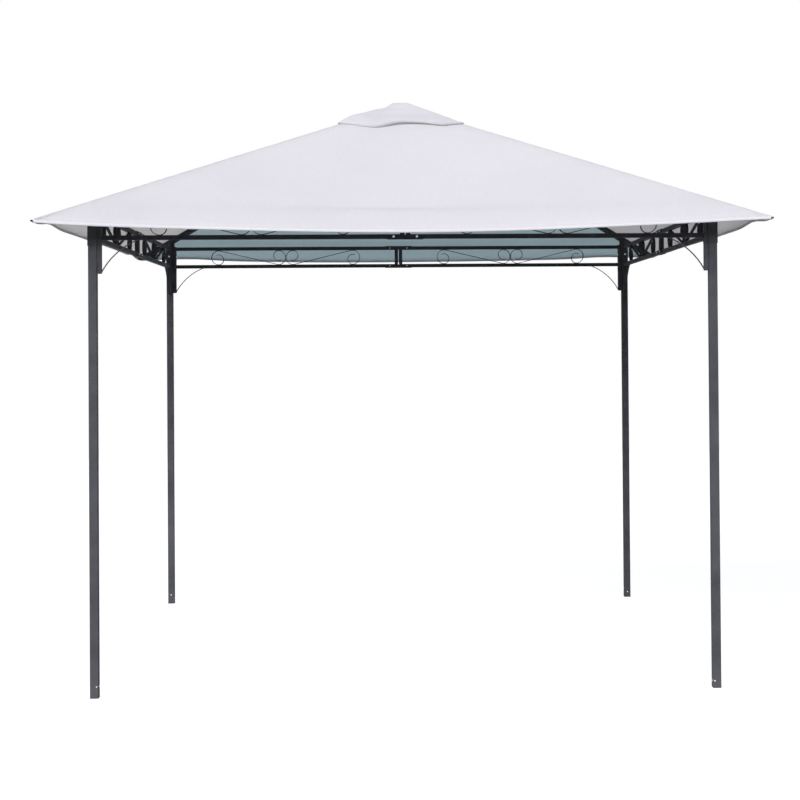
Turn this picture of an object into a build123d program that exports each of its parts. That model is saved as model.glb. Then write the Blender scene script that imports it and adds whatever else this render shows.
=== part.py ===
from build123d import *
import os
from math import asin, atan, cos, degrees, pi, radians, sin, sqrt

# Garden gazebo, three metres square: four steel posts, scrollwork side panels, a hipped frame
# of rafters and a fabric canopy with a small vent cap. Millimetres, +Z up, front towards -Y.
# The origin is on the ground at the middle of the four posts.

# Posts
post_spacing = 2584
post_size = 35
post_wall = 0.8
post_bevel = 1
foot_flange = 4
foot_stem = 70
foot_stem_wall = 3

# Side panels, welded from square tube with bent strip between the rails
tube_size = 19
tube_wall = 0.6
rail_underside = 1888
panel_height = 119
middle_gap = 5
strip_thickness = 3
strip_width = 14
scroll_pitch = 338
curl_inner_radius = 28
curl_inner_start = 115
weld_bite = 0.4

# Corner uprights with their curved braces
upright_drop = 136
brace_reach = 147
brace_foot = 5
brace_rise = 17

# Channels that join the two halves of a side
joiner_length = 150
joiner_leg = 17
plate = 2.0

# Corner brackets on the post heads
bracket_drop = 24
bracket_bevel = 1.5
saddle_half_length = 24
saddle_rise = 13.4
saddle_height = 15

# Roof frame
rafter_size = 25
rafter_wall = 0.8
rafter_bevel = 1
rafter_start = 20
rafter_setback = 60
tip_thickness = 8
tip_plug = 30
hub_width = 90
hub_floor = 10
hub_bevel = 8
crown_rise = 21

# Canopy and vent cap
canopy_overhang = 208
roof_slope = 0.446
canopy_thickness = 2.0
hem_drop = 14
hem_droop = 41
droop_power = 1.3
hem_stations = 12
vent_half = 200
cap_half = 300
cap_top_half = 38

clearance = 0.3
cloth_clearance = 0.7

# Places worked out from the sizes above
post_centre = post_spacing / 2
post_half = post_size / 2
tube_half = tube_size / 2
panel_top = rail_underside + panel_height
panel_middle = rail_underside + panel_height / 2
upright_outer = post_centre - post_half
upright_inner = upright_outer - tube_size
upright_foot = rail_underside - upright_drop
middle_face = middle_gap / 2
curl_radius = panel_height / 2 - tube_size + weld_bite - strip_thickness / 2
canopy_half = post_centre + canopy_overhang
inside_hem = canopy_half - canopy_thickness - clearance
rafter_end = canopy_half - rafter_setback
hip_slope = roof_slope / sqrt(2)
hip_angle = atan(hip_slope)
rafter_depth = rafter_size / cos(hip_angle)
cloth_to_rafter = canopy_thickness + roof_slope * rafter_size / 2 / sqrt(2) + cloth_clearance
canopy_corner_z = panel_top + saddle_rise + rafter_depth + cloth_to_rafter - roof_slope * canopy_overhang

SIDES = ["front", "right", "back", "left"]
CORNERS = ["front_left", "front_right", "back_right", "back_left"]
ON_END = (Align.CENTER, Align.CENTER, Align.MIN)


def save(node, shape):
    """Write one sub-part to its own file."""
    shape.label = node
    export_step(shape, f"parts/{node}.step")


def turned(shape, quarter):
    """Turn a copy about the gazebo's middle by whole quarter turns."""
    return shape.rotate(Axis.Z, 90 * quarter)


def block(low, high):
    """A box from its lowest to its highest corner."""
    size = [h - l for l, h in zip(low, high)]
    return Pos(*low) * Box(*size, align=(Align.MIN, Align.MIN, Align.MIN))


def square_tube(size, wall, length, bevel=0):
    """A square tube along +Z, open at both ends, standing on the XY plane."""
    tube = Box(size, size, length, align=ON_END)
    if bevel:
        tube = chamfer(tube.edges().filter_by(Axis.Z), bevel)
    return tube - Box(size - 2 * wall, size - 2 * wall, length, align=ON_END)


def hip_height(reach):
    """Height of the canopy's outer face on a hip, reach being the distance along X or Y."""
    return canopy_corner_z + roof_slope * (canopy_half - reach)


def rafter_top(reach):
    """Height of the rafter's top face: its two edges lie just under the cloth."""
    return hip_height(reach) - cloth_to_rafter


def post():
    """Steel post, a plain square tube standing on its foot."""
    tube = square_tube(post_size, post_wall, panel_top - foot_flange, post_bevel)
    return Pos(-post_centre, -post_centre, foot_flange) * tube


def foot():
    """Moulded foot: a flange under the tube's end and a hollow stem inside it."""
    stem_size = post_size - 2 * post_wall - 2 * clearance
    flange = Box(post_size, post_size, foot_flange, align=ON_END)
    flange = chamfer(flange.edges().group_by(Axis.Z)[0], 1)
    stem = Pos(0, 0, foot_flange) * square_tube(stem_size, foot_stem_wall, foot_stem)
    return Pos(-post_centre, -post_centre, 0) * (flange + stem)


def scroll():
    """S-scroll: a flat strip with a curl at each end, flat in the XZ plane, about its own middle."""
    half = scroll_pitch / 2
    leaving = 90 - degrees(asin(curl_radius / half))
    inner_centre = (-half, curl_inner_radius - curl_radius)
    inner = CenterArc(inner_centre, curl_inner_radius, curl_inner_start, -curl_inner_start - 90)
    outer = CenterArc((-half, 0), curl_radius, -90, leaving - 270)
    diagonal = Line(outer @ 1, -(outer @ 1))
    curl = [inner, outer]
    other_curl = [edge.rotate(Axis.Z, 180) for edge in curl]
    outline = trace(curl + [diagonal] + other_curl, line_width=strip_thickness)
    return Rot(90, 0, 0) * extrude(outline, strip_width / 2, both=True)


def side_panel():
    """Left half of the front: two rails, the upright at the middle joint and a pair of scrolls."""
    rail_length = upright_inner - middle_face - tube_size
    rail = Rot(0, 90, 0) * square_tube(tube_size, tube_wall, rail_length)
    shape = None
    for height in (rail_underside + tube_half, panel_top - tube_half):
        placed = Pos(-upright_inner, 0, height) * rail
        shape = placed if shape is None else shape + placed
    upright = square_tube(tube_size, tube_wall, panel_height)
    shape += Pos(-middle_face - tube_half, 0, rail_underside) * upright
    panel_centre = -(upright_inner + middle_face + tube_size) / 2
    scroll_offset = scroll_pitch / 2 + curl_radius + strip_thickness / 2 - weld_bite / 2
    one = Pos(-scroll_offset, 0, 0) * scroll()
    for strip in (one, one.mirror(Plane.YZ)):
        shape += Pos(panel_centre, 0, panel_middle) * strip
    return Pos(0, -post_centre, 0) * shape


def corner_upright():
    """Upright beside the front left post, with the curved brace under the front rail."""
    upright = square_tube(tube_size, tube_wall, panel_top - upright_foot)
    upright = Pos(-upright_inner - tube_half, 0, upright_foot) * upright
    low = Vector(0, upright_foot + brace_foot)
    high = Vector(brace_reach, rail_underside)
    bulge = (high - low).rotate(Axis.Z, 90).normalized() * brace_rise
    curve = ThreePointArc(low, (low + high) / 2 + bulge, high)
    # The strip runs on past both ends and is cut where it meets the tube and the rail
    lead_in = Line(low - (curve % 0) * tube_half, low)
    lead_out = Line(high, high + (curve % 1) * tube_half)
    outline = trace([lead_in, curve, lead_out], line_width=strip_thickness)
    strip = Rot(90, 0, 0) * extrude(outline, strip_width / 2, both=True)
    bay = block((0, -strip_width, 0), (brace_reach + tube_size, strip_width, rail_underside))
    brace = Pos(-upright_inner, 0, 0) * (strip & bay)
    return Pos(0, -post_centre, 0) * (upright + brace)


def joiners():
    """Pressed channels over the middle joint of the front, one on each rail."""
    outside = tube_size + 2 * (plate + clearance)
    inside = tube_size + 2 * clearance
    channel = Box(joiner_length, outside, plate + joiner_leg, align=ON_END)
    channel = chamfer(channel.edges().group_by(Axis.Z)[0].filter_by(Axis.X), plate / 2)
    channel -= Pos(0, 0, plate) * Box(joiner_length, inside, joiner_leg, align=ON_END)
    lower = Pos(0, 0, rail_underside - clearance - plate) * channel
    upper = Pos(0, 0, panel_top + clearance + plate) * Rot(180, 0, 0) * channel
    return [Pos(0, -post_centre, 0) * shape for shape in (lower, upper)]


def on_diagonal(outline, half_width):
    """A solid about the front left diagonal, from an outline drawn along it and upwards."""
    across = Plane(origin=(0, 0, 0), x_dir=(-1, -1, 0), z_dir=(-1, 1, 0))
    return across * extrude(make_face(outline), half_width, both=True)


def rafter_bar(size, first, last, top_lift=0, bevel=0):
    """Square bar under the front left hip between two reaches, its top lifted if asked."""
    length = (last - first) * sqrt(2) / cos(hip_angle)
    start = Vector(-first, -first, rafter_top(first) + top_lift)
    frame = Plane(origin=start, x_dir=(1, -1, 0), z_dir=(-1, -1, -roof_slope))
    bar = Box(size, size, length, align=(Align.CENTER, Align.MAX, Align.MIN))
    if bevel:
        bar = chamfer(bar.edges().filter_by(Axis.Z), bevel)
    return frame * bar


def rafter():
    """Hip rafter, a square tube from the crown hub to just short of the canopy's corner."""
    bore_drop = -rafter_wall / cos(hip_angle)
    outer = rafter_bar(rafter_size, rafter_start, rafter_end, bevel=rafter_bevel)
    past = rafter_size / 2
    bore = rafter_bar(rafter_size - 2 * rafter_wall, rafter_start - past, rafter_end + past, bore_drop)
    return outer - bore


def rafter_tip_cap():
    """Moulded tip of the front left rafter: a plug in the tube and a tongue under the corner."""
    plug_size = rafter_size - 2 * (rafter_wall + clearance)
    plug_drop = -(rafter_wall + clearance) / cos(hip_angle)
    plug_first = rafter_end - tip_plug / sqrt(2)
    plug = rafter_bar(plug_size, plug_first, rafter_end, plug_drop)
    tongue = rafter_bar(rafter_size, rafter_end, canopy_half)
    tongue &= block((-inside_hem, -inside_hem, 0), (inside_hem, inside_hem, hip_height(0)))
    # The underside rises towards the tip, so that no more than a thin nose reaches the corner
    near = rafter_end * sqrt(2)
    far = inside_hem * sqrt(2)
    side = Polyline(
        (near, rafter_top(rafter_end) - rafter_depth),
        (far, rafter_top(inside_hem) - tip_thickness),
        (far + rafter_size, rafter_top(inside_hem) - rafter_depth * 2),
        (near, rafter_top(rafter_end) - rafter_depth * 2),
        close=True,
    )
    return plug + (tongue - on_diagonal(side, rafter_size))


def corner_bracket():
    """Bracket on the front left post: a sleeve, wings over both uprights and the rafter's saddle."""
    base = rail_underside - bracket_drop
    head = panel_top + clearance
    sleeve_half = post_half + clearance + plate
    wing_half = tube_half + clearance + plate
    wing_reach = post_half + tube_size
    outside = block((-sleeve_half, -sleeve_half, base), (sleeve_half, sleeve_half, head + plate))
    outside = chamfer(outside.edges().filter_by(Axis.Z), bracket_bevel)
    wing = block((0, -wing_half, base), (wing_reach, wing_half, head + plate))
    outside += wing
    outside += wing.rotate(Axis.Z, 90)
    post_room = post_half + clearance
    outside -= block((-post_room, -post_room, base), (post_room, post_room, head))
    wing_room = tube_half + clearance
    room = block((0, -wing_room, base), (wing_reach, wing_room, head))
    outside -= room
    outside -= room.rotate(Axis.Z, 90)

    # The saddle is a block under the hip with a channel for the rafter
    centre = post_centre * sqrt(2)
    ends = (centre - saddle_half_length, centre + saddle_half_length)
    tops = [rafter_top(end / sqrt(2)) - rafter_depth + saddle_height for end in ends]
    side = Polyline((ends[0], head), (ends[1], head), (ends[1], tops[1]), (ends[0], tops[0]), close=True)
    saddle = on_diagonal(side, rafter_size / 2 + clearance + plate)
    groove_size = rafter_size + 2 * clearance
    groove = rafter_bar(groove_size, post_centre - 2 * saddle_half_length,
                        post_centre + 2 * saddle_half_length, clearance)
    return Pos(-post_centre, -post_centre, 0) * outside + (saddle - groove)


def crown_hub():
    """Crown hub: an eight-sided moulding with a bevelled crown and four sloping sockets."""
    floor = rafter_top(hub_width / 2 / sqrt(2)) - rafter_depth - hub_floor
    height = crown_height() - floor
    corner_radius = hub_width / 2 / cos(radians(22.5))
    body = extrude(RegularPolygon(corner_radius, 8, rotation=22.5), height)
    body = chamfer(body.edges().group_by(Axis.Z)[0] + body.edges().group_by(Axis.Z)[-1], hub_bevel)
    body = Pos(0, 0, floor) * body
    socket = rafter_bar(rafter_size + 2 * clearance, rafter_start - clearance, hub_width, clearance)
    for quarter in range(4):
        body -= turned(socket, quarter)
    return body


def crown_height():
    """Height of the hub's flat top, which carries the vent cap."""
    return rafter_top(rafter_start) + crown_rise


def hem_height(share):
    """Height of the hem's outer edge at a share of its length: it droops between the corners."""
    middle = min(share, 1 - share)
    return canopy_corner_z - hem_droop * sin(pi * middle) ** droop_power


def canopy_gore():
    """Front gore of the canopy, from the drooping hem up to the vent, mitred at both hips."""
    shares = [step / hem_stations for step in range(hem_stations + 1)]
    hem = [Vector(canopy_half * (2 * k - 1), -canopy_half, hem_height(k)) for k in shares]
    vent = [Vector(vent_half * (2 * k - 1), -vent_half, hip_height(vent_half)) for k in shares]
    pieces = []
    for step in range(hem_stations):
        for corners in ((hem[step], hem[step + 1], vent[step]), (hem[step + 1], vent[step + 1], vent[step])):
            facet = make_face(Polyline(*corners, close=True))
            pieces.append(extrude(facet, canopy_thickness, dir=(0, 0, -1)))
    below = [point - Vector(0, 0, hem_drop) for point in reversed(hem)]
    fold = make_face(Polyline(*hem, *below, close=True))
    pieces.append(extrude(fold, canopy_thickness, dir=(0, 1, 0)))
    cloth = pieces[0].fuse(*pieces[1:])
    reach = canopy_half + hem_drop
    sector = Polyline((0, 0), (-reach, -reach), (reach, -reach), close=True)
    return cloth & extrude(make_face(sector), hip_height(0) + hem_drop)


def vent_cap():
    """Vent cap: a square hood on the crown hub, its corners resting on the canopy's hips."""
    base_z = hip_height(cap_half) + clearance + canopy_thickness
    height = crown_height() + clearance + canopy_thickness - base_z
    lean = degrees(atan((cap_half - cap_top_half) / height))
    hood = Pos(0, 0, base_z) * extrude(Rectangle(2 * cap_half, 2 * cap_half), height, taper=lean)
    return hood - Pos(0, 0, -canopy_thickness) * hood


os.makedirs("parts", exist_ok=True)

panel = side_panel()
upright = corner_upright()
for quarter, side in enumerate(SIDES):
    halves = [turned(shape, quarter) for shape in (panel, panel.mirror(Plane.YZ))]
    save(f"panel_{side}", Compound(children=halves))
    pair = [turned(shape, quarter) for shape in (upright, upright.mirror(Plane.YZ))]
    save(f"uprights_{side}", Compound(children=pair))
    save(f"joiner_{side}", Compound(children=[turned(shape, quarter) for shape in joiners()]))
    save(f"canopy_{side}", turned(canopy_gore(), quarter))

for quarter, corner in enumerate(CORNERS):
    save(f"post_{corner}", turned(post(), quarter))
    save(f"foot_{corner}", turned(foot(), quarter))
    save(f"corner_bracket_{corner}", turned(corner_bracket(), quarter))
    save(f"rafter_{corner}", turned(rafter(), quarter))

save("rafter_tips", Compound(children=[turned(rafter_tip_cap(), quarter) for quarter in range(4)]))
save("crown_hub", crown_hub())
save("vent_cap", vent_cap())
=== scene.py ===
from math import cos, exp, hypot, pi, radians, sin, sqrt

import bmesh
import bpy
from mathutils import Matrix, Vector


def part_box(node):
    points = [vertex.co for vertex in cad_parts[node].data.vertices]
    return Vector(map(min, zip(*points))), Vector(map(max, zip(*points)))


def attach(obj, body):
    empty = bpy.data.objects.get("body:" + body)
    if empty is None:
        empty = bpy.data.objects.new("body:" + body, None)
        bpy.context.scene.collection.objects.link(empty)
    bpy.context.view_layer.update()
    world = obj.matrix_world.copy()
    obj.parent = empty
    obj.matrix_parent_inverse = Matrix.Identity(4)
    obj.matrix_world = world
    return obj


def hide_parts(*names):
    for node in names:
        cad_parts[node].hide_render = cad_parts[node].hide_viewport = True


# Garden gazebo, three metres square: a powder-coated steel frame with scrollwork sides under a
# white polyester canopy. Metres, +Z up, front towards -Y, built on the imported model.

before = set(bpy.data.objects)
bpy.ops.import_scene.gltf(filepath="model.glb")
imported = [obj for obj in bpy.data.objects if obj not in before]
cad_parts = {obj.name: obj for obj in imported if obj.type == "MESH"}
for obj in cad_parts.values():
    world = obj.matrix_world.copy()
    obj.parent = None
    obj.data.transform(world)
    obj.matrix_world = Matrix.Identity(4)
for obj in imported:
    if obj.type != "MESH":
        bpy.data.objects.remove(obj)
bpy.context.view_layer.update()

# Viewpoint
# Eye height, a little left of the middle and 8.4 m from the crown, with a short telephoto lens.
# The picture is a cropped part of a larger frame, so the lens axis falls right of its middle.
image_px = 800
focal_px = 1698.4
axis_px = (461.1, 321.9)
eye = (-0.108, -8.378, 1.442)
heading = radians(2.738)
climb = radians(0.788)
lean = radians(-0.436)
sensor = 0.036

forward = Vector((sin(heading) * cos(climb), cos(heading) * cos(climb), sin(climb)))
level_right = Vector((cos(heading), -sin(heading), 0))
level_up = level_right.cross(forward)
right = cos(lean) * level_right + sin(lean) * level_up
up = cos(lean) * level_up - sin(lean) * level_right

lens = bpy.data.cameras.new("viewpoint")
lens.sensor_width = sensor * 1000
lens.lens = focal_px / image_px * sensor * 1000
lens.shift_x = 0.5 - axis_px[0] / image_px
lens.shift_y = axis_px[1] / image_px - 0.5
lens.clip_end = 200
camera = bpy.data.objects.new("viewpoint", lens)
turned_to = Matrix((right, up, -forward)).transposed().to_4x4()
camera.matrix_world = Matrix.Translation(eye) @ turned_to
bpy.context.scene.collection.objects.link(camera)
bpy.context.scene.camera = camera


# Posts, rafters, panels and joiners
# Thin square steel tube and strip, welded, then sprayed with polyester powder and baked. The
# coat is a dark grey with a slight orange peel; it thins and goes paler along the edges.
# One coat in two copies: the posts and uprights take the lighter post_grey, and the panels, joiners
# and front and back rafters take coat_grey, darker as painted shade for the shade under the canopy
coat_grey = "#3c3d43"
post_grey = "#5f6067"
coat_rubbed = "#63646a"
dust = "#8b8780"
dust_share = 0.2
orange_peel = 0.003
cloud_size = 1 / 9
speck_size = 1 / 140
edge_radius = 0.0012
splash_height = 0.09


def linear(code):
    """Linear colour of an sRGB hex value."""
    parts = [int(code[i : i + 2], 16) / 255 for i in (1, 3, 5)]
    return [p / 12.92 if p <= 0.04045 else ((p + 0.055) / 1.055) ** 2.4 for p in parts] + [1]


def add(material, kind, inputs, **settings):
    """Add a node with its settings; each input is a value or another node's socket."""
    node = material.node_tree.nodes.new(kind)
    for name, value in settings.items():
        setattr(node, name, value)
    for name, value in inputs.items():
        if isinstance(value, bpy.types.NodeSocket):
            material.node_tree.links.new(value, node.inputs[name])
        else:
            node.inputs[name].default_value = value
    return node


def new_material(name):
    """An empty node material and its Principled shader."""
    material = bpy.data.materials.new(name)
    material.use_nodes = True
    return material, material.node_tree.nodes["Principled BSDF"]


def connect(material, shader, **sockets):
    """Link sockets to a shader's inputs, underscores standing for spaces."""
    for name, socket in sockets.items():
        material.node_tree.links.new(socket, shader.inputs[name.replace("_", " ")])


def powder_coat(name, colour):
    """Powder coat: low gloss, fine orange peel, rubbed paler on the edges, dusty at the ground."""
    material, shader = new_material(name)
    spot = add(material, "ShaderNodeTexCoord", {}).outputs["Object"]
    peel = add(
        material, "ShaderNodeTexNoise", {"Vector": spot, "Scale": 1 / orange_peel, "Detail": 3}
    )
    cloudy = add(
        material, "ShaderNodeTexNoise", {"Vector": spot, "Scale": 1 / cloud_size, "Detail": 6}
    )
    shade = add(
        material,
        "ShaderNodeMixRGB",
        {"Fac": cloudy.outputs["Fac"], "Color1": linear(colour), "Color2": linear(coat_grey)},
    )

    # An edge is where the rounded surface turns away from the flat one
    rounded = add(material, "ShaderNodeBevel", {"Radius": edge_radius}, samples=4)
    flat = add(material, "ShaderNodeNewGeometry", {})
    facing = add(
        material,
        "ShaderNodeVectorMath",
        {0: rounded.outputs["Normal"], 1: flat.outputs["Normal"]},
        operation="DOT_PRODUCT",
    )
    edge = add(
        material,
        "ShaderNodeMapRange",
        {"Value": facing.outputs["Value"], "From Min": 0.995, "From Max": 0.85, "To Max": 0.7},
    )
    patchy = add(
        material,
        "ShaderNodeMath",
        {0: edge.outputs["Result"], 1: cloudy.outputs["Fac"]},
        operation="MULTIPLY",
    )
    rubbed = add(
        material,
        "ShaderNodeMixRGB",
        {
            "Fac": patchy.outputs["Value"],
            "Color1": shade.outputs["Color"],
            "Color2": linear(coat_rubbed),
        },
    )

    height = add(material, "ShaderNodeSeparateXYZ", {"Vector": spot})
    low = add(
        material,
        "ShaderNodeMapRange",
        {
            "Value": height.outputs["Z"],
            "From Min": splash_height,
            "From Max": 0,
            "To Max": dust_share,
        },
    )
    speckle = add(
        material, "ShaderNodeTexNoise", {"Vector": spot, "Scale": 1 / speck_size, "Detail": 4}
    )
    dusty = add(
        material,
        "ShaderNodeMath",
        {0: low.outputs["Result"], 1: speckle.outputs["Fac"]},
        operation="MULTIPLY",
    )
    surface = add(
        material,
        "ShaderNodeMixRGB",
        {"Fac": dusty.outputs["Value"], "Color1": rubbed.outputs["Color"], "Color2": linear(dust)},
    )

    gloss = add(
        material,
        "ShaderNodeMapRange",
        {"Value": cloudy.outputs["Fac"], "To Min": 0.6, "To Max": 0.74},
    )
    bump = add(
        material,
        "ShaderNodeBump",
        {"Height": peel.outputs["Fac"], "Strength": 0.12, "Distance": 0.0004},
    )
    shader.inputs["Specular IOR Level"].default_value = 0.05
    connect(
        material,
        shader,
        Base_Color=surface.outputs["Color"],
        Roughness=gloss.outputs["Result"],
        Normal=bump.outputs["Normal"],
    )
    return material


def finish_nodes(material, *starts):
    """Give a material to every CAD node whose name starts with one of these words."""
    for name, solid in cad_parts.items():
        if name.startswith(starts):
            for material_slot in solid.material_slots:
                material_slot.material = material


# Painted shade: the panels, joiners, front and back rafters and their welds get a darker copy of
# the posts' coat
post_coat = powder_coat("powder_coat_posts", post_grey)
panel_coat_painted_shade = powder_coat("powder_coat_panels_painted_shade", coat_grey)
finish_nodes(post_coat, "post_", "uprights_")
finish_nodes(panel_coat_painted_shade, "panel_", "joiner_", "rafter_front", "rafter_back")


# Feet, corner brackets, rafter tips and crown hub
# Black polypropylene, injection moulded in tools with a spark-eroded skin, so that the faces
# are matt with a fine even grain and only the edges take a little light.
moulded_black = "#35363a"
moulded_worn = "#46474b"
spark_grain = 0.0025
flow_size = 1 / 30

moulding, shader = new_material("moulded_polypropylene")
spot = add(moulding, "ShaderNodeTexCoord", {}).outputs["Object"]
grain = add(moulding, "ShaderNodeTexVoronoi", {"Vector": spot, "Scale": 1 / spark_grain})
flow = add(moulding, "ShaderNodeTexNoise", {"Vector": spot, "Scale": 1 / flow_size, "Detail": 5})
tone = add(
    moulding,
    "ShaderNodeMixRGB",
    {
        "Fac": flow.outputs["Fac"],
        "Color1": linear(moulded_black),
        "Color2": linear(moulded_worn),
    },
)
matt = add(
    moulding,
    "ShaderNodeMapRange",
    {"Value": grain.outputs["Distance"], "To Min": 0.55, "To Max": 0.75},
)
skin = add(
    moulding,
    "ShaderNodeBump",
    {"Height": grain.outputs["Distance"], "Strength": 0.15, "Distance": 0.0003},
)
shader.inputs["Specular IOR Level"].default_value = 0.2
connect(
    moulding,
    shader,
    Base_Color=tone.outputs["Color"],
    Roughness=matt.outputs["Result"],
    Normal=skin.outputs["Normal"],
)
finish_nodes(moulding, "foot_", "corner_bracket_", "rafter_tips", "crown_hub")


# Bolts, screws and nuts
# Zinc-plated button heads with a hexagon socket stand on black nylon washers at the joiners;
# the bolts' ends show in black nuts behind. Plain heads hold the uprights and the feet.
bolt_head = 0.0048
bolt_rise = 0.0028
bolt_socket = 0.0015
washer_radius = 0.0085
washer_thickness = 0.0012
nut_radius = 0.0042
nut_height = 0.004
bolt_radius = 0.0025
bolt_end = 0.0065
screw_head = 0.0032
bolt_from_middle = 0.0485
upright_bolt_height = 1.955
foot_screw_heights = (0.048, 0.030)
foot_screw_from_middle = 0.010
round_steps = 24
zinc_pale = "#f4f4f2"
zinc_dull = "#d6d7d6"
bloom_size = 1 / 260

# Profiles of (radius, height), each from a fifth of a millimetre inside what it stands on
sunk = 0.0002
washer_profile = (
    (washer_radius, -sunk),
    (washer_radius, 0.0009),
    (washer_radius * 0.94, washer_thickness),
)
nut_profile = (
    (nut_radius, -sunk),
    (nut_radius, nut_height),
    (nut_radius * 0.86, nut_height + 0.0004),
)
bolt_end_profile = (
    (bolt_radius, nut_height),
    (bolt_radius, bolt_end),
    (bolt_radius * 0.75, bolt_end + 0.0005),
)
# The button head's heights are shares of its rise
button_profile = (
    (bolt_socket * 0.9, 0.35),
    (bolt_socket, 1),
    (bolt_head * 0.62, 1),
    (bolt_head * 0.85, 0.72),
    (bolt_head * 0.97, 0.3),
    (bolt_head, -0.1),
)

# Zinc passivated after plating: a bright metal, a little cloudy and neither mirror nor matt
plating, shader = new_material("zinc_plated_steel")
spot = add(plating, "ShaderNodeTexCoord", {}).outputs["Object"]
bloom = add(plating, "ShaderNodeTexNoise", {"Vector": spot, "Scale": 1 / bloom_size, "Detail": 4})
zinc = add(
    plating,
    "ShaderNodeMixRGB",
    {"Fac": bloom.outputs["Fac"], "Color1": linear(zinc_pale), "Color2": linear(zinc_dull)},
)
passivated = add(
    plating,
    "ShaderNodeMapRange",
    {"Value": bloom.outputs["Fac"], "To Min": 0.25, "To Max": 0.45},
)
shader.inputs["Metallic"].default_value = 1
connect(
    plating, shader, Base_Color=zinc.outputs["Color"], Roughness=passivated.outputs["Result"]
)


def turned(point, quarter):
    """A point turned about the gazebo's middle by whole quarter turns."""
    x, y, z = point
    for _ in range(quarter % 4):
        x, y = -y, x
    return Vector((x, y, z))


def new_piece(name, mesh, material):
    """An object from a bmesh, on the frame, with its material in its one slot."""
    data = bpy.data.meshes.new(name)
    bmesh.ops.recalc_face_normals(mesh, faces=mesh.faces)
    mesh.to_mesh(data)
    mesh.free()
    data.materials.append(material)
    piece = bpy.data.objects.new(name, data)
    bpy.context.scene.collection.objects.link(piece)
    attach(piece, "root")
    return piece


def lathe(mesh, profile, place, outward, hexagon_rings=0):
    """Turn a profile of (radius, height) about an axis; the first rings may be hexagonal."""
    stand = Matrix.Translation(place) @ Vector(outward).to_track_quat("Z", "Y").to_matrix().to_4x4()
    rings = []
    for row, (radius, height) in enumerate(profile):
        ring = []
        for step in range(round_steps):
            angle = 2 * pi * step / round_steps
            flat = cos((angle + pi / 6) % (pi / 3) - pi / 6)
            reach = radius / flat if row < hexagon_rings else radius
            point = Vector((reach * cos(angle), reach * sin(angle), height))
            ring.append(mesh.verts.new(stand @ point))
        rings.append(ring)
    mesh.faces.new(rings[0])
    for lower, upper in zip(rings, rings[1:]):
        for step in range(round_steps):
            after = (step + 1) % round_steps
            mesh.faces.new((lower[step], lower[after], upper[after], upper[step]))
    mesh.faces.new(rings[-1])


def button_head(mesh, place, outward, radius, stand=0):
    """A button head with a hexagon socket, standing on place or on a washer there."""
    size = radius / bolt_head
    profile = [(r * size, stand + h * bolt_rise * size) for r, h in button_profile]
    lathe(mesh, profile, place, outward, 2)


post_low, post_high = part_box("post_front_left")
post_centre = -(post_low[0] + post_high[0]) / 2
post_half = (post_high[0] - post_low[0]) / 2
channel_low, channel_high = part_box("joiner_front")
rail_low, rail_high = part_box("panel_front")
rail_size = rail_high[1] - rail_low[1]
rail_middles = (rail_low[2] + rail_size / 2, rail_high[2] - rail_size / 2)
panel_end = -rail_low[0]

bolts = bmesh.new()
washers = bmesh.new()
for quarter in range(4):
    outward, inward = turned((0, -1, 0), quarter), turned((0, 1, 0), quarter)
    for height in rail_middles:
        for across in (-bolt_from_middle, bolt_from_middle):
            place = turned((across, channel_low[1], height), quarter)
            lathe(washers, washer_profile, place, outward)
            button_head(bolts, place, outward, bolt_head, washer_thickness)
            place = turned((across, channel_high[1], height), quarter)
            lathe(washers, nut_profile, place, inward, 2)
            lathe(bolts, bolt_end_profile, place, inward)
    for side in (-1, 1):
        place = turned((side * panel_end, -post_centre, upright_bolt_height), quarter)
        button_head(bolts, place, turned((-side, 0, 0), quarter), bolt_head)
new_piece("joiner_bolts", bolts, plating)
new_piece("joiner_washers_and_nuts", washers, moulding)

# A screw in each face of a post's lower end: place, height and the way it faces
post_face = post_centre + post_half
post_back = post_centre - post_half
by_middle = post_centre - foot_screw_from_middle
screws = bmesh.new()
for quarter in range(4):
    for x, y, height, outward in (
        (-by_middle, -post_face, foot_screw_heights[0], (0, -1, 0)),
        (-post_face, -by_middle, foot_screw_heights[1], (-1, 0, 0)),
        (-post_back, -post_centre, foot_screw_heights[0], (1, 0, 0)),
        (-post_centre, -post_back, foot_screw_heights[1], (0, 1, 0)),
    ):
        place = turned((x, y, height), quarter)
        button_head(screws, place, turned(outward, quarter), screw_head)
new_piece("foot_screws", screws, plating)

# Black screws hold the brackets' wings to the uprights, one above the other
wing_thickness = 0.0023
wing_face = post_centre + rail_size / 2 + wing_thickness
wing_screw_from_post = post_half + rail_size * 0.55
black_screws = bmesh.new()
for quarter in range(4):
    for height in rail_middles:
        across = -post_centre + wing_screw_from_post
        for x, y, outward in ((across, -wing_face, (0, -1, 0)), (-wing_face, across, (-1, 0, 0))):
            place = turned((x, y, height), quarter)
            button_head(black_screws, place, turned(outward, quarter), screw_head)
new_piece("bracket_screws", black_screws, moulding)


# Plugs of the uprights
# Small ribbed plugs of black polyethylene, pushed into the open lower ends of the corner
# uprights; only their low domed heads show under the tube.
upright_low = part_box("uprights_front")[0]
plug_profile = ((1.0, 0.0003), (1.0, -0.0012), (0.9, -0.0024), (0.55, -0.0032))
plugs = bmesh.new()
for quarter in range(4):
    for side in (-1, 1):
        middle = Vector((side * (panel_end + rail_size / 2), -post_centre, upright_low[2]))
        rings = []
        for share, height in plug_profile:
            half = share * rail_size / 2
            ring = []
            for x, y in ((-half, -half), (half, -half), (half, half), (-half, half)):
                ring.append(plugs.verts.new(turned(middle + Vector((x, y, height)), quarter)))
            rings.append(ring)
        for upper, lower in zip(rings, rings[1:]):
            for k in range(4):
                plugs.faces.new((upper[k], upper[k - 3], lower[k - 3], lower[k]))
        plugs.faces.new(rings[0])
        plugs.faces.new(rings[-1])
new_piece("upright_plugs", plugs, moulding)


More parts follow.
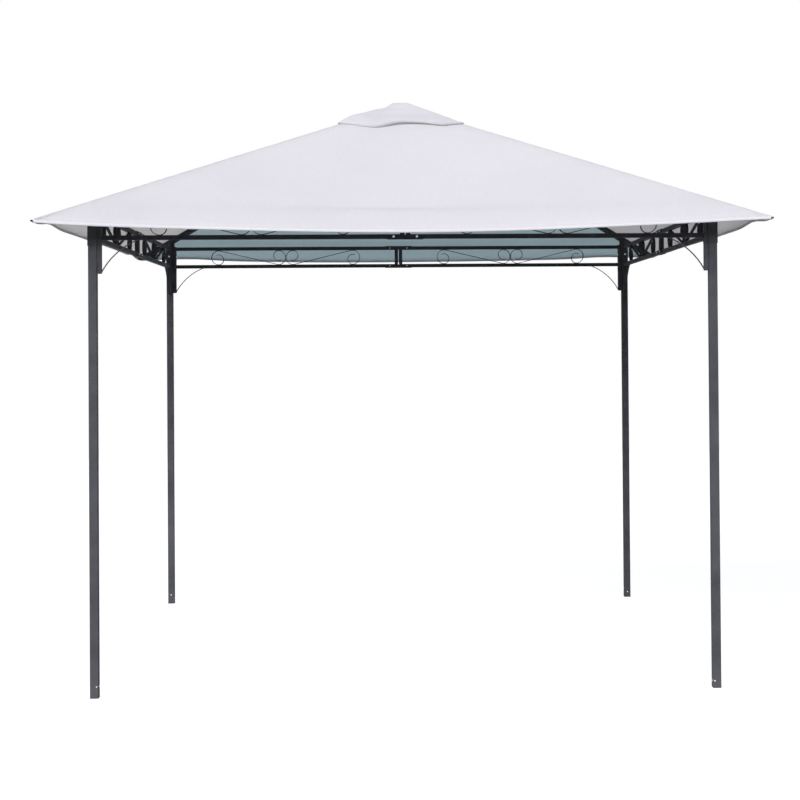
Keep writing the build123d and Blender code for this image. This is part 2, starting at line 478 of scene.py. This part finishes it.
# Welds
# The scrolls and braces are fixed with short weld beads before coating, so that each touch of
# strip on tube has a low lump on either side, under the same powder coat.
bead_length = 0.012
bead_radius = 0.0022
bead_steps = 7
bead_sides = 6
bead_from_touch = 0.0075
curl_pitch = 0.338
pair_half = 0.2097
middle_upright = 0.0215
brace_reach = 0.147
brace_foot = 0.005


def weld_bead(mesh, place, along, outward):
    """A low rippled half-round bead, tapering at both ends."""
    along, outward = Vector(along), Vector(outward)
    side = along.cross(outward)
    rings = []
    for step in range(bead_steps):
        share = step / (bead_steps - 1)
        swell = bead_radius * (0.35 + 0.65 * sin(pi * share) ** 0.5) * (1 + 0.12 * cos(step * pi))
        middle = Vector(place) + along * (share - 0.5) * bead_length
        ring = []
        for turn in range(bead_sides):
            angle = pi * turn / (bead_sides - 1)
            ring.append(mesh.verts.new(middle + swell * (cos(angle) * side + sin(angle) * outward)))
        rings.append(ring)
    for first, second in zip(rings, rings[1:]):
        for turn in range(bead_sides):
            after = (turn + 1) % bead_sides
            mesh.faces.new((first[turn], first[after], second[after], second[turn]))
    mesh.faces.new(rings[0])
    mesh.faces.new(rings[-1])


panel_middle = (panel_end + middle_upright) / 2
curl_centres = [
    panel_middle + pair * pair_half + curl * curl_pitch / 2 for pair in (-1, 1) for curl in (-1, 1)
]
rail_faces = (
    (rail_low[2] + rail_size, (0, 0, 1)),
    (rail_high[2] - rail_size, (0, 0, -1)),
)
beads = bmesh.new()
for quarter in range(4):
    across = turned((0, 1, 0), quarter)
    for centre in curl_centres + [-c for c in curl_centres]:
        for height, outward in rail_faces:
            for beside in (-bead_from_touch, bead_from_touch):
                place = turned((centre + beside, -post_centre, height), quarter)
                weld_bead(beads, place, across, outward)
    for side in (-1, 1):
        low = (side * panel_end, -post_centre, upright_low[2] + brace_foot + bead_from_touch)
        high = (side * (panel_end - brace_reach - bead_from_touch), -post_centre, rail_low[2])
        weld_bead(beads, turned(low, quarter), across, turned((-side, 0, 0), quarter))
        weld_bead(beads, turned(high, quarter), across, (0, 0, -1))
new_piece("panel_welds", beads, panel_coat_painted_shade)


# Canopy
# White woven polyester, about 170 g a square metre, coated on its underside. Four gores are
# joined by lapped seams along the hips, hemmed all round and pulled tight over the rafters'
# tips; the hem hangs in a shallow curve between the corners.
cloth_white = "#efedf5"
cloth_shaded = "#e8e6ef"
cloth_through = "#fbfbef"
# Painted light: a very pale blue-green that tints the back slope's underside, for the open sky's
# light behind it
painted_sky_tint = "#ebfcff"
thread_grey = "#c4c3cd"
thread_spacing = pi / 1000
stitch_spacing = pi / 500
stitch_half = 0.0006
stitch_soft = 0.0011
slub_width = 0.005
slub_length = 0.09
shade_size = 0.625
hem_light = 0.12
cloth_light = 0.42

roof_slope = 0.446
cloth_thickness = 0.0009
seam_lap = 0.007
seam_step = 0.001
seam_rise = 0.0008
hip_strip = 0.012
gore_steps = 36
gore_rows = 30
hem_depth = 0.011
hem_turn = 0.008
hem_fold = 0.003
hem_seam_up = 0.016
# For the front, right, back and left: how far the hem dips and is drawn in at the middle of a
# side, how full the curve is at its left and right, and how far it is drawn up beside the corners
hem_droops = (0.046, 0.010, 0.023, 0.002)
hem_pulls = (0.010, 0.034, 0.012, 0.034)
hem_powers = ((0.7, 1.1), (1.3, 1.3), (1.3, 1.3), (1.3, 1.3))
slope_power = 1.3
corner_lifts = (0, 0.014, 0.008, 0.014)
corner_lift_at = 0.32
corner_lift_width = 0.14
rail_reach = 1.304
rail_hold = 0.76
belly = 0.012
ripple_height = 0.0018

gore_low, gore_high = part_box("canopy_front")
hem_half = -gore_low[1] - 0.0005
vent_half = -gore_high[1]
vent_height = gore_high[2] - 0.001


def hip_height(reach):
    """Height of the cloth on a hip, at a distance from the middle along X or Y."""
    return vent_height - roof_slope * (reach - vent_half)


def gore_columns(reach):
    """Places across a gore at one height: even in the middle, close at the hips' seams."""
    inner = reach - hip_strip
    middle = [inner * (2 * step / gore_steps - 1) for step in range(gore_steps + 1)]
    near = [reach, reach - seam_lap, reach - seam_lap - seam_step]
    return [-x for x in near] + middle + near[::-1]


def gore_point(side, across, reach, drop=0, inset=0):
    """A point of a gore, in the front gore's own place."""
    share = min(max((across / reach + 1) / 2, 0), 1)
    down = (reach - vent_half) / (hem_half - vent_half)
    rail = (rail_reach - vent_half) / (hem_half - vent_half)
    past_rail = (down - rail) / (1 - rail)
    left, right = hem_powers[side]
    power = slope_power + (left + (right - left) * share - slope_power) * down * down
    arch = sin(pi * share) ** power
    ripple = ripple_height * sin(9 * share + 2 * side) * sin(pi * share) * max(0, past_rail)
    # Above the top rail the cloth hangs straight, with a little slack; past it the hem dips more,
    # and beside each corner the hem is drawn up tight
    dip = rail_hold * down / rail if down < rail else rail_hold + (1 - rail_hold) * past_rail
    slack = belly * sin(pi * min(1, down / rail)) ** 2
    sag = (hem_droops[side] * dip + slack) * arch
    pull = hem_pulls[side] * arch * down ** 3
    from_hip = reach - abs(across)
    from_lift = (from_hip - corner_lift_at) / corner_lift_width
    sag -= corner_lifts[side] * exp(-from_lift * from_lift) * down ** 6
    raised = seam_rise if from_hip < seam_lap + seam_step / 2 and drop == 0 else 0
    return (across, -(reach - pull - inset), hip_height(reach) - sag + ripple + raised - drop)


def sewn_sheet(name, rows, columns, point, material, closed=False):
    """One sheet of four gores that share their seams, from rows of (reach, drop, inset).

    Its two sets of UV coordinates are in metres: "cloth" runs across and down each gore, and
    "edges" is the distance from the hip's seam and from the hem's last row.
    """
    mesh = bmesh.new()
    cloth = mesh.loops.layers.uv.new("cloth")
    edges = mesh.loops.layers.uv.new("edges")
    rings, places = [], []
    for row in rows:
        across = columns(row[0])
        ring = []
        for side in range(4):
            ring += [mesh.verts.new(turned(point(side, x, *row), side)) for x in across[:-1]]
        rings.append(ring)
        places.append(across)
    run = [0]
    for upper, lower in zip(rows, rows[1:]):
        along = (lower[0] - upper[0]) * sqrt(1 + roof_slope ** 2)
        run.append(run[-1] + hypot(along, lower[1] - upper[1] + lower[2] - upper[2]))
    wide = len(places[0]) - 1
    for row in range(len(rows) - 1):
        for side in range(4):
            for column in range(wide):
                first = side * wide + column
                second = (first + 1) % (4 * wide)
                corners = (
                    (row, first, column),
                    (row, second, column + 1),
                    (row + 1, second, column + 1),
                    (row + 1, first, column),
                )
                face = mesh.faces.new([rings[r][v] for r, v, _ in corners])
                face.smooth = True
                for loop, (r, _, c) in zip(face.loops, corners):
                    x = places[r][c]
                    loop[cloth].uv = (x, run[r])
                    loop[edges].uv = (rows[r][0] - abs(x), run[-1] - run[r])
    if closed:
        mesh.faces.new(rings[0]).smooth = True
    return new_piece(name, mesh, material)


def woven_polyester(name):
    """Plain weave with slubs, sewn with lock stitch; thin enough for the light to come through."""
    material, shader = new_material(name)
    cloth = add(material, "ShaderNodeUVMap", {}, uv_map="cloth").outputs["UV"]
    edges = add(material, "ShaderNodeUVMap", {}, uv_map="edges").outputs["UV"]

    # Threads are 0.4 mm apart in the real cloth, and are drawn about eight times coarser to show
    # at all. At a scale of one a wave's bands lie pi / 10 apart, or pi / 5 along each axis when
    # they run on the diagonal
    threads = {"Vector": cloth, "Scale": pi / 10 / thread_spacing, "Distortion": 0.6}
    warp = add(material, "ShaderNodeTexWave", threads, bands_direction="X")
    weft = add(material, "ShaderNodeTexWave", threads, bands_direction="Y")
    weave = add(
        material,
        "ShaderNodeMath",
        {0: warp.outputs["Fac"], 1: weft.outputs["Fac"]},
        operation="MAXIMUM",
    )
    along = add(
        material,
        "ShaderNodeMapping",
        {"Vector": cloth, "Scale": (1 / slub_width, 1 / slub_length, 1)},
    )
    slubs = add(
        material, "ShaderNodeTexNoise", {"Vector": along.outputs["Vector"], "Scale": 1, "Detail": 2}
    )
    clouds = add(
        material, "ShaderNodeTexNoise", {"Vector": cloth, "Scale": 1 / shade_size, "Detail": 4}
    )

    tone = add(
        material,
        "ShaderNodeMath",
        {0: slubs.outputs["Fac"], 1: clouds.outputs["Fac"]},
        operation="MULTIPLY",
    )
    spread = add(
        material,
        "ShaderNodeMapRange",
        {"Value": tone.outputs["Value"], "From Min": 0.1, "From Max": 0.45},
    )
    colour = add(
        material,
        "ShaderNodeMixRGB",
        {
            "Fac": spread.outputs["Result"],
            "Color1": linear(cloth_shaded),
            "Color2": linear(cloth_white),
        },
    )

    # A row of stitches beside each hip, and one above the hem
    split = add(material, "ShaderNodeSeparateXYZ", {"Vector": edges})
    beside = add(
        material,
        "ShaderNodeMath",
        {0: split.outputs["X"], 1: seam_lap * 0.75},
        operation="SUBTRACT",
    )
    from_seam = add(
        material, "ShaderNodeMath", {0: beside.outputs["Value"]}, operation="ABSOLUTE"
    )
    above = add(
        material,
        "ShaderNodeMath",
        {0: split.outputs["Y"], 1: hem_depth + hem_turn + hem_seam_up},
        operation="SUBTRACT",
    )
    from_hem = add(material, "ShaderNodeMath", {0: above.outputs["Value"]}, operation="ABSOLUTE")
    nearest = add(
        material,
        "ShaderNodeMath",
        {0: from_seam.outputs["Value"], 1: from_hem.outputs["Value"]},
        operation="MINIMUM",
    )
    row = add(
        material,
        "ShaderNodeMapRange",
        {"Value": nearest.outputs["Value"], "From Min": stitch_soft, "From Max": stitch_half},
    )
    runs = add(
        material,
        "ShaderNodeTexWave",
        {"Vector": cloth, "Scale": pi / 5 / stitch_spacing},
        bands_direction="DIAGONAL",
    )
    dashes = add(
        material,
        "ShaderNodeMath",
        {0: row.outputs["Result"], 1: runs.outputs["Fac"]},
        operation="MULTIPLY",
    )
    sewn = add(
        material,
        "ShaderNodeMixRGB",
        {
            "Fac": dashes.outputs["Value"],
            "Color1": colour.outputs["Color"],
            "Color2": linear(thread_grey),
        },
    )

    # Painted light: where a face looks down and to the front, as the back slope's underside does,
    # its colour is multiplied by a very pale blue-green. This paints in the open sky's light behind
    # that slope, and is not a cast of the coating
    facing = add(material, "ShaderNodeNewGeometry", {})
    upward = add(material, "ShaderNodeSeparateXYZ", {"Vector": facing.outputs["Normal"]})
    below = add(
        material, "ShaderNodeMath", {0: upward.outputs["Z"], 1: -0.6}, operation="LESS_THAN"
    )
    behind = add(
        material, "ShaderNodeMath", {0: upward.outputs["Y"], 1: -0.2}, operation="LESS_THAN"
    )
    sky_tint_mask = add(
        material,
        "ShaderNodeMath",
        {0: below.outputs["Value"], 1: behind.outputs["Value"]},
        operation="MULTIPLY",
    )
    sky_tinted_colour = add(
        material,
        "ShaderNodeMixRGB",
        {
            "Fac": sky_tint_mask.outputs["Value"],
            "Color1": sewn.outputs["Color"],
            "Color2": linear(painted_sky_tint),
        },
        blend_type="MULTIPLY",
    )

    relief = add(
        material,
        "ShaderNodeMath",
        {0: weave.outputs["Value"], 1: slubs.outputs["Fac"]},
        operation="ADD",
    )
    pressed = add(
        material,
        "ShaderNodeMath",
        {0: relief.outputs["Value"], 1: row.outputs["Result"]},
        operation="SUBTRACT",
    )
    bump = add(
        material,
        "ShaderNodeBump",
        {"Height": pressed.outputs["Value"], "Strength": 0.06, "Distance": 0.0006},
    )
    rough = add(
        material,
        "ShaderNodeMapRange",
        {"Value": slubs.outputs["Fac"], "To Min": 0.62, "To Max": 0.78},
    )
    shader.inputs["Specular IOR Level"].default_value = 0.3
    shader.inputs["Sheen Weight"].default_value = 0.08
    connect(
        material,
        shader,
        Base_Color=sky_tinted_colour.outputs["Color"],
        Roughness=rough.outputs["Result"],
        Normal=bump.outputs["Normal"],
    )
    warmed = add(
        material,
        "ShaderNodeMixRGB",
        {"Fac": 1, "Color1": sky_tinted_colour.outputs["Color"], "Color2": linear(cloth_through)},
        blend_type="MULTIPLY",
    )
    # Three layers lie in the hem, so less light comes through it
    layers = add(
        material,
        "ShaderNodeMapRange",
        {
            "Value": split.outputs["Y"],
            "From Min": hem_depth + hem_turn + 0.002,
            "From Max": hem_depth + hem_turn + 0.005,
            "To Min": hem_light,
            "To Max": cloth_light,
        },
    )
    through = add(material, "ShaderNodeBsdfTranslucent", {"Color": warmed.outputs["Color"]})
    both = add(
        material,
        "ShaderNodeMixShader",
        {0: layers.outputs["Result"], 1: shader.outputs["BSDF"], 2: through.outputs["BSDF"]},
    )
    output = material.node_tree.nodes["Material Output"]
    connect(material, output, Surface=both.outputs["Shader"])
    return material


def thicken(piece, thickness):
    """Give a sheet its thickness, half to each side."""
    layer = piece.modifiers.new("cloth", "SOLIDIFY")
    layer.thickness = thickness
    layer.offset = 0


# Rows down a gore, then the hem's outer face, its lower edge and the turn inside it
polyester = woven_polyester("woven_polyester")
slope_run = hem_half - vent_half
rows = [(vent_half + slope_run * step / gore_rows, 0, 0) for step in range(gore_rows + 1)]
rows += [
    (hem_half, hem_depth * 0.15, -0.0004),
    (hem_half, hem_depth * 0.8, 0),
    (hem_half, hem_depth, 0.001),
    (hem_half, hem_depth, hem_fold),
    (hem_half, hem_depth - hem_turn, hem_fold),
]
canopy = sewn_sheet("canopy_cloth", rows, gore_columns, gore_point, polyester)
thicken(canopy, cloth_thickness)
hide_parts("canopy_front", "canopy_right", "canopy_back", "canopy_left")

# Corner pockets, three-cornered patches under the corners, that the rafters' tips sit in
pocket_length = 0.075
pocket_depth = 0.010
pocket_seam = 0.004
pocket_tip = 0.002
pocket_inset = 0.0022
pocket_rows = 8
pocket_columns = 12
pockets = bmesh.new()
pocket_cloth = pockets.loops.layers.uv.new("cloth")
pocket_edges = pockets.loops.layers.uv.new("edges")
corner_z = hip_height(hem_half) - hem_depth
for quarter in range(4):
    grid = []
    for row in range(pocket_rows + 1):
        along = pocket_tip + pocket_length * row / pocket_rows
        fullness = sin(pi * (0.12 + 0.5 * row / pocket_rows))
        line = []
        for column in range(pocket_columns + 1):
            share = column / pocket_columns
            hang = pocket_depth * sin(pi * share) ** 0.5 * fullness
            x = -hem_half + pocket_inset + along * (1 - share)
            y = -hem_half + pocket_inset + along * share
            line.append(pockets.verts.new(turned((x, y, corner_z + pocket_seam - hang), quarter)))
        grid.append(line)
    for row in range(pocket_rows):
        for column in range(pocket_columns):
            places = (
                (row, column),
                (row, column + 1),
                (row + 1, column + 1),
                (row + 1, column),
            )
            face = pockets.faces.new([grid[r][c] for r, c in places])
            face.smooth = True
            for loop, (r, c) in zip(face.loops, places):
                across = c * pocket_length / pocket_columns
                loop[pocket_cloth].uv = (r * pocket_length / pocket_rows, across)
                # No stitches here, and the light of two layers
                loop[pocket_edges].uv = (0.05, 0.01)
pocket = new_piece("corner_pockets", pockets, polyester)
thicken(pocket, cloth_thickness)

# Pegs, the black ends of the rafters' tips, which come out through an eyelet in each pocket
peg_radius = 0.0042
peg_reach = 0.007
peg_root = 0.006
peg_up = 0.005
peg_profile = (
    (peg_radius, 0),
    (peg_radius, peg_reach + peg_root),
    (peg_radius * 0.8, peg_reach + 0.0075),
    (peg_radius * 0.4, peg_reach + 0.008),
)
pegs = bmesh.new()
for quarter in range(4):
    place = turned((-hem_half + peg_root, -hem_half + peg_root, corner_z + peg_up), quarter)
    lathe(pegs, peg_profile, place, turned((-1, -1, 0.1), quarter))
new_piece("tip_pegs", pegs, moulding)


# Vent cap
# A small hood of the same cloth, sewn from four gores and hemmed. It sits on the crown hub and
# its corners are caught down on the canopy's hips; between them the hem lifts, which lets the
# warm air out through the opening below it.
cap_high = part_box("vent_cap")[1]
cap_half = cap_high[0] - 0.0005
cap_top = cap_high[2] - 0.001
crown_half = 0.034
crown_reaches = (0.006, 0.024, 0.032, 0.038)
cap_corner = hip_height(cap_half) + 0.002
cap_hem = 0.013
cap_slack = 0.006
cap_rows_down = 16
cap_columns_across = 24
# How far each hip stands off a straight line, and each lip off the canopy, along their lengths
cap_hips = (
    ((0, 0), (0.15, -0.008), (0.38, 0.004), (0.8, 0.018), (1, 0.010)),
    ((0, 0), (0.5, 0.002), (1, 0.003)),
    ((0, 0), (0.3, -0.004), (1, 0.006)),
    ((0, 0), (0.2, -0.005), (0.7, 0.008), (1, 0.008)),
)
cap_lips = (
    ((0, 0), (0.3, -0.004), (0.52, 0.008), (0.66, 0.007), (0.86, 0), (1, 0)),
    ((0, 0), (0.3, 0.012), (0.55, 0.016), (0.8, 0.008), (1, 0)),
    ((0, 0), (0.25, 0.008), (0.5, 0.015), (0.75, 0.012), (1, 0)),
    ((0, 0), (0.3, 0.014), (0.6, 0.017), (0.85, 0.006), (1, 0)),
)
# How far each lip slips down the canopy, left and right of its middle
cap_slips = ((0.040, 0.024), (0.004, 0.006), (0.015, 0.020), (0.006, 0.004))
cap_slip_at = (0.28, 0.84)
cap_slip_width = 0.15


def eased(share):
    """A share from 0 to 1, level at both ends."""
    return share * share * (3 - 2 * share)


def smooth_between(points, place):
    """The value at a place on a line through (place, value) points, eased from one to the next."""
    for (start, low), (end, high) in zip(points, points[1:]):
        if place <= end:
            return low + (high - low) * eased((place - start) / (end - start))
    return points[-1][1]


def cap_columns(reach):
    """Places across a gore of the cap: even in the middle, close at the seams."""
    inner = reach * 0.95
    steps = range(cap_columns_across + 1)
    return [-reach] + [inner * (2 * step / cap_columns_across - 1) for step in steps] + [reach]


def cap_point(side, across, reach, drop=0, inset=0):
    """A point of the cap's gore, in the front gore's own place; drop is a share of the hem."""
    share = min(max((across / reach + 1) / 2, 0), 1)
    blend = eased(share)
    down = min(1, max(0, (reach - crown_half) / (cap_half - crown_half)))
    off_corners = min(1, 8 * share * (1 - share))
    left, right = cap_hips[side], cap_hips[(side + 1) % 4]
    off = smooth_between(left, down) * (1 - blend) + smooth_between(right, down) * blend
    corner_hem = left[-1][1] * (1 - blend) + right[-1][1] * blend
    hem = corner_hem + (cap_hem - corner_hem) * off_corners
    rise = (smooth_between(cap_lips[side], share) + hem - corner_hem) * down ** 3
    slack = cap_slack * sin(pi * share) * sin(pi * down) ** 2 * (1 + 0.5 * sin(7 * share + side))
    hip = cap_top - (cap_top - cap_corner) * down + off
    slip = 0
    for most, at in zip(cap_slips[side], cap_slip_at):
        slip += most * exp(-(((share - at) / cap_slip_width) ** 2))
    out = slip * off_corners * down ** 4 - inset
    return (across, -(reach + out), hip + rise - slack - drop * hem - roof_slope * out)


# Rows down a gore from the crown, then the hem's outer face, its lower edge and the turn inside
crown_edge = crown_reaches[-1]
cap_rows = [(reach, 0, 0) for reach in crown_reaches]
for step in range(1, cap_rows_down + 1):
    cap_rows.append((crown_edge + (cap_half - crown_edge) * step / cap_rows_down, 0, 0))
cap_rows += [
    (cap_half, 0.12, 0.0004),
    (cap_half, 0.25, 0.001),
    (cap_half, 0.8, 0.003),
    (cap_half, 0.92, 0.004),
    (cap_half, 1, 0.006),
    (cap_half, 0.3, 0.005),
]
cap = sewn_sheet(
    "vent_cap_cloth", cap_rows, cap_columns, cap_point, polyester, closed=True
)
thicken(cap, cloth_thickness)
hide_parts("vent_cap")


# Studio
# A floor that keeps a soft shadow and otherwise shows white, a white surround for the camera
# and for gloss, a low fill, and three distant lamps.
floor_half = 14
floor_grey = "#7c7c7a"
floor_drop = 0.0005
shown_glow = 0.86
shown_grey = (0.28, 0.28, 0.28, 1)
sky = "#e4e9f2"
sky_fill = 0.13
white = (1, 1, 1, 1)

floor_mesh = bmesh.new()
corners = []
for x, y in ((-1, -1), (1, -1), (1, 1), (-1, 1)):
    corners.append(floor_mesh.verts.new((x * floor_half, y * floor_half, -floor_drop)))
floor_mesh.faces.new(corners)
floor_data = bpy.data.meshes.new("floor")
floor_mesh.to_mesh(floor_data)
floor_mesh.free()
floor = bpy.data.objects.new("floor", floor_data)
bpy.context.scene.collection.objects.link(floor)


def backdrop_rays(material):
    """One for rays that show a backdrop: the camera's, and those through gloss and glass."""
    ray = add(material, "ShaderNodeLightPath", {})
    seen = add(
        material,
        "ShaderNodeMath",
        {0: ray.outputs["Is Camera Ray"], 1: ray.outputs["Is Glossy Ray"]},
        operation="MAXIMUM",
    )
    seen = add(
        material,
        "ShaderNodeMath",
        {0: seen.outputs["Value"], 1: ray.outputs["Is Transmission Ray"]},
        operation="MAXIMUM",
    )
    return seen.outputs["Value"]


# Matt grey for the light that it throws back; the camera sees it glow white round the shadow
ground, shader = new_material("pale_floor")
shader.inputs["Base Color"].default_value = linear(floor_grey)
shader.inputs["Roughness"].default_value = 0.9
shader.inputs["Specular IOR Level"].default_value = 0
seen = backdrop_rays(ground)
glow = add(ground, "ShaderNodeEmission", {"Color": white, "Strength": shown_glow})
faint = add(ground, "ShaderNodeBsdfDiffuse", {"Color": shown_grey})
shown = add(
    ground, "ShaderNodeAddShader", {0: glow.outputs["Emission"], 1: faint.outputs["BSDF"]}
)
mixed = add(
    ground,
    "ShaderNodeMixShader",
    {0: seen, 1: shader.outputs["BSDF"], 2: shown.outputs["Shader"]},
)
connect(ground, ground.node_tree.nodes["Material Output"], Surface=mixed.outputs["Shader"])
floor_data.materials.append(ground)

world = bpy.data.worlds.new("surround")
world.use_nodes = True
bpy.context.scene.world = world
fill = world.node_tree.nodes["Background"]
fill.inputs["Color"].default_value = linear(sky)
fill.inputs["Strength"].default_value = sky_fill
seen = backdrop_rays(world)
surround = add(world, "ShaderNodeBackground", {"Color": white, "Strength": 1})
both = add(
    world,
    "ShaderNodeMixShader",
    {0: seen, 1: fill.outputs["Background"], 2: surround.outputs["Background"]},
)
connect(world, world.node_tree.nodes["World Output"], Surface=both.outputs["Shader"])


def hang_lamp(name, strength, spread, colour, source):
    """A distant lamp, as wide as its spread in degrees, that shines from a direction."""
    lamp_data = bpy.data.lights.new(name, "SUN")
    lamp_data.energy = strength
    lamp_data.angle = radians(spread)
    lamp_data.color = colour
    lamp = bpy.data.objects.new(name, lamp_data)
    lamp.rotation_euler = Vector(source).to_track_quat("Z", "Y").to_euler()
    bpy.context.scene.collection.objects.link(lamp)


# The key stands high at the front left. A low panel of light straight in front is for the posts'
# faces and the hem, and the open sky behind lights the back slope a little blue
hang_lamp("key", 2.5, 25, (1, 0.985, 0.96), (-0.6, -0.56, 0.57))
hang_lamp("front_panel", 1.85, 20, (1, 1, 1), (0.05, -0.92, 0.33))
hang_lamp("back_sky", 1.0, 70, (0.6, 0.83, 1), (0.1, 0.8, 0.6))

bpy.context.scene.view_settings.view_transform = "Standard"
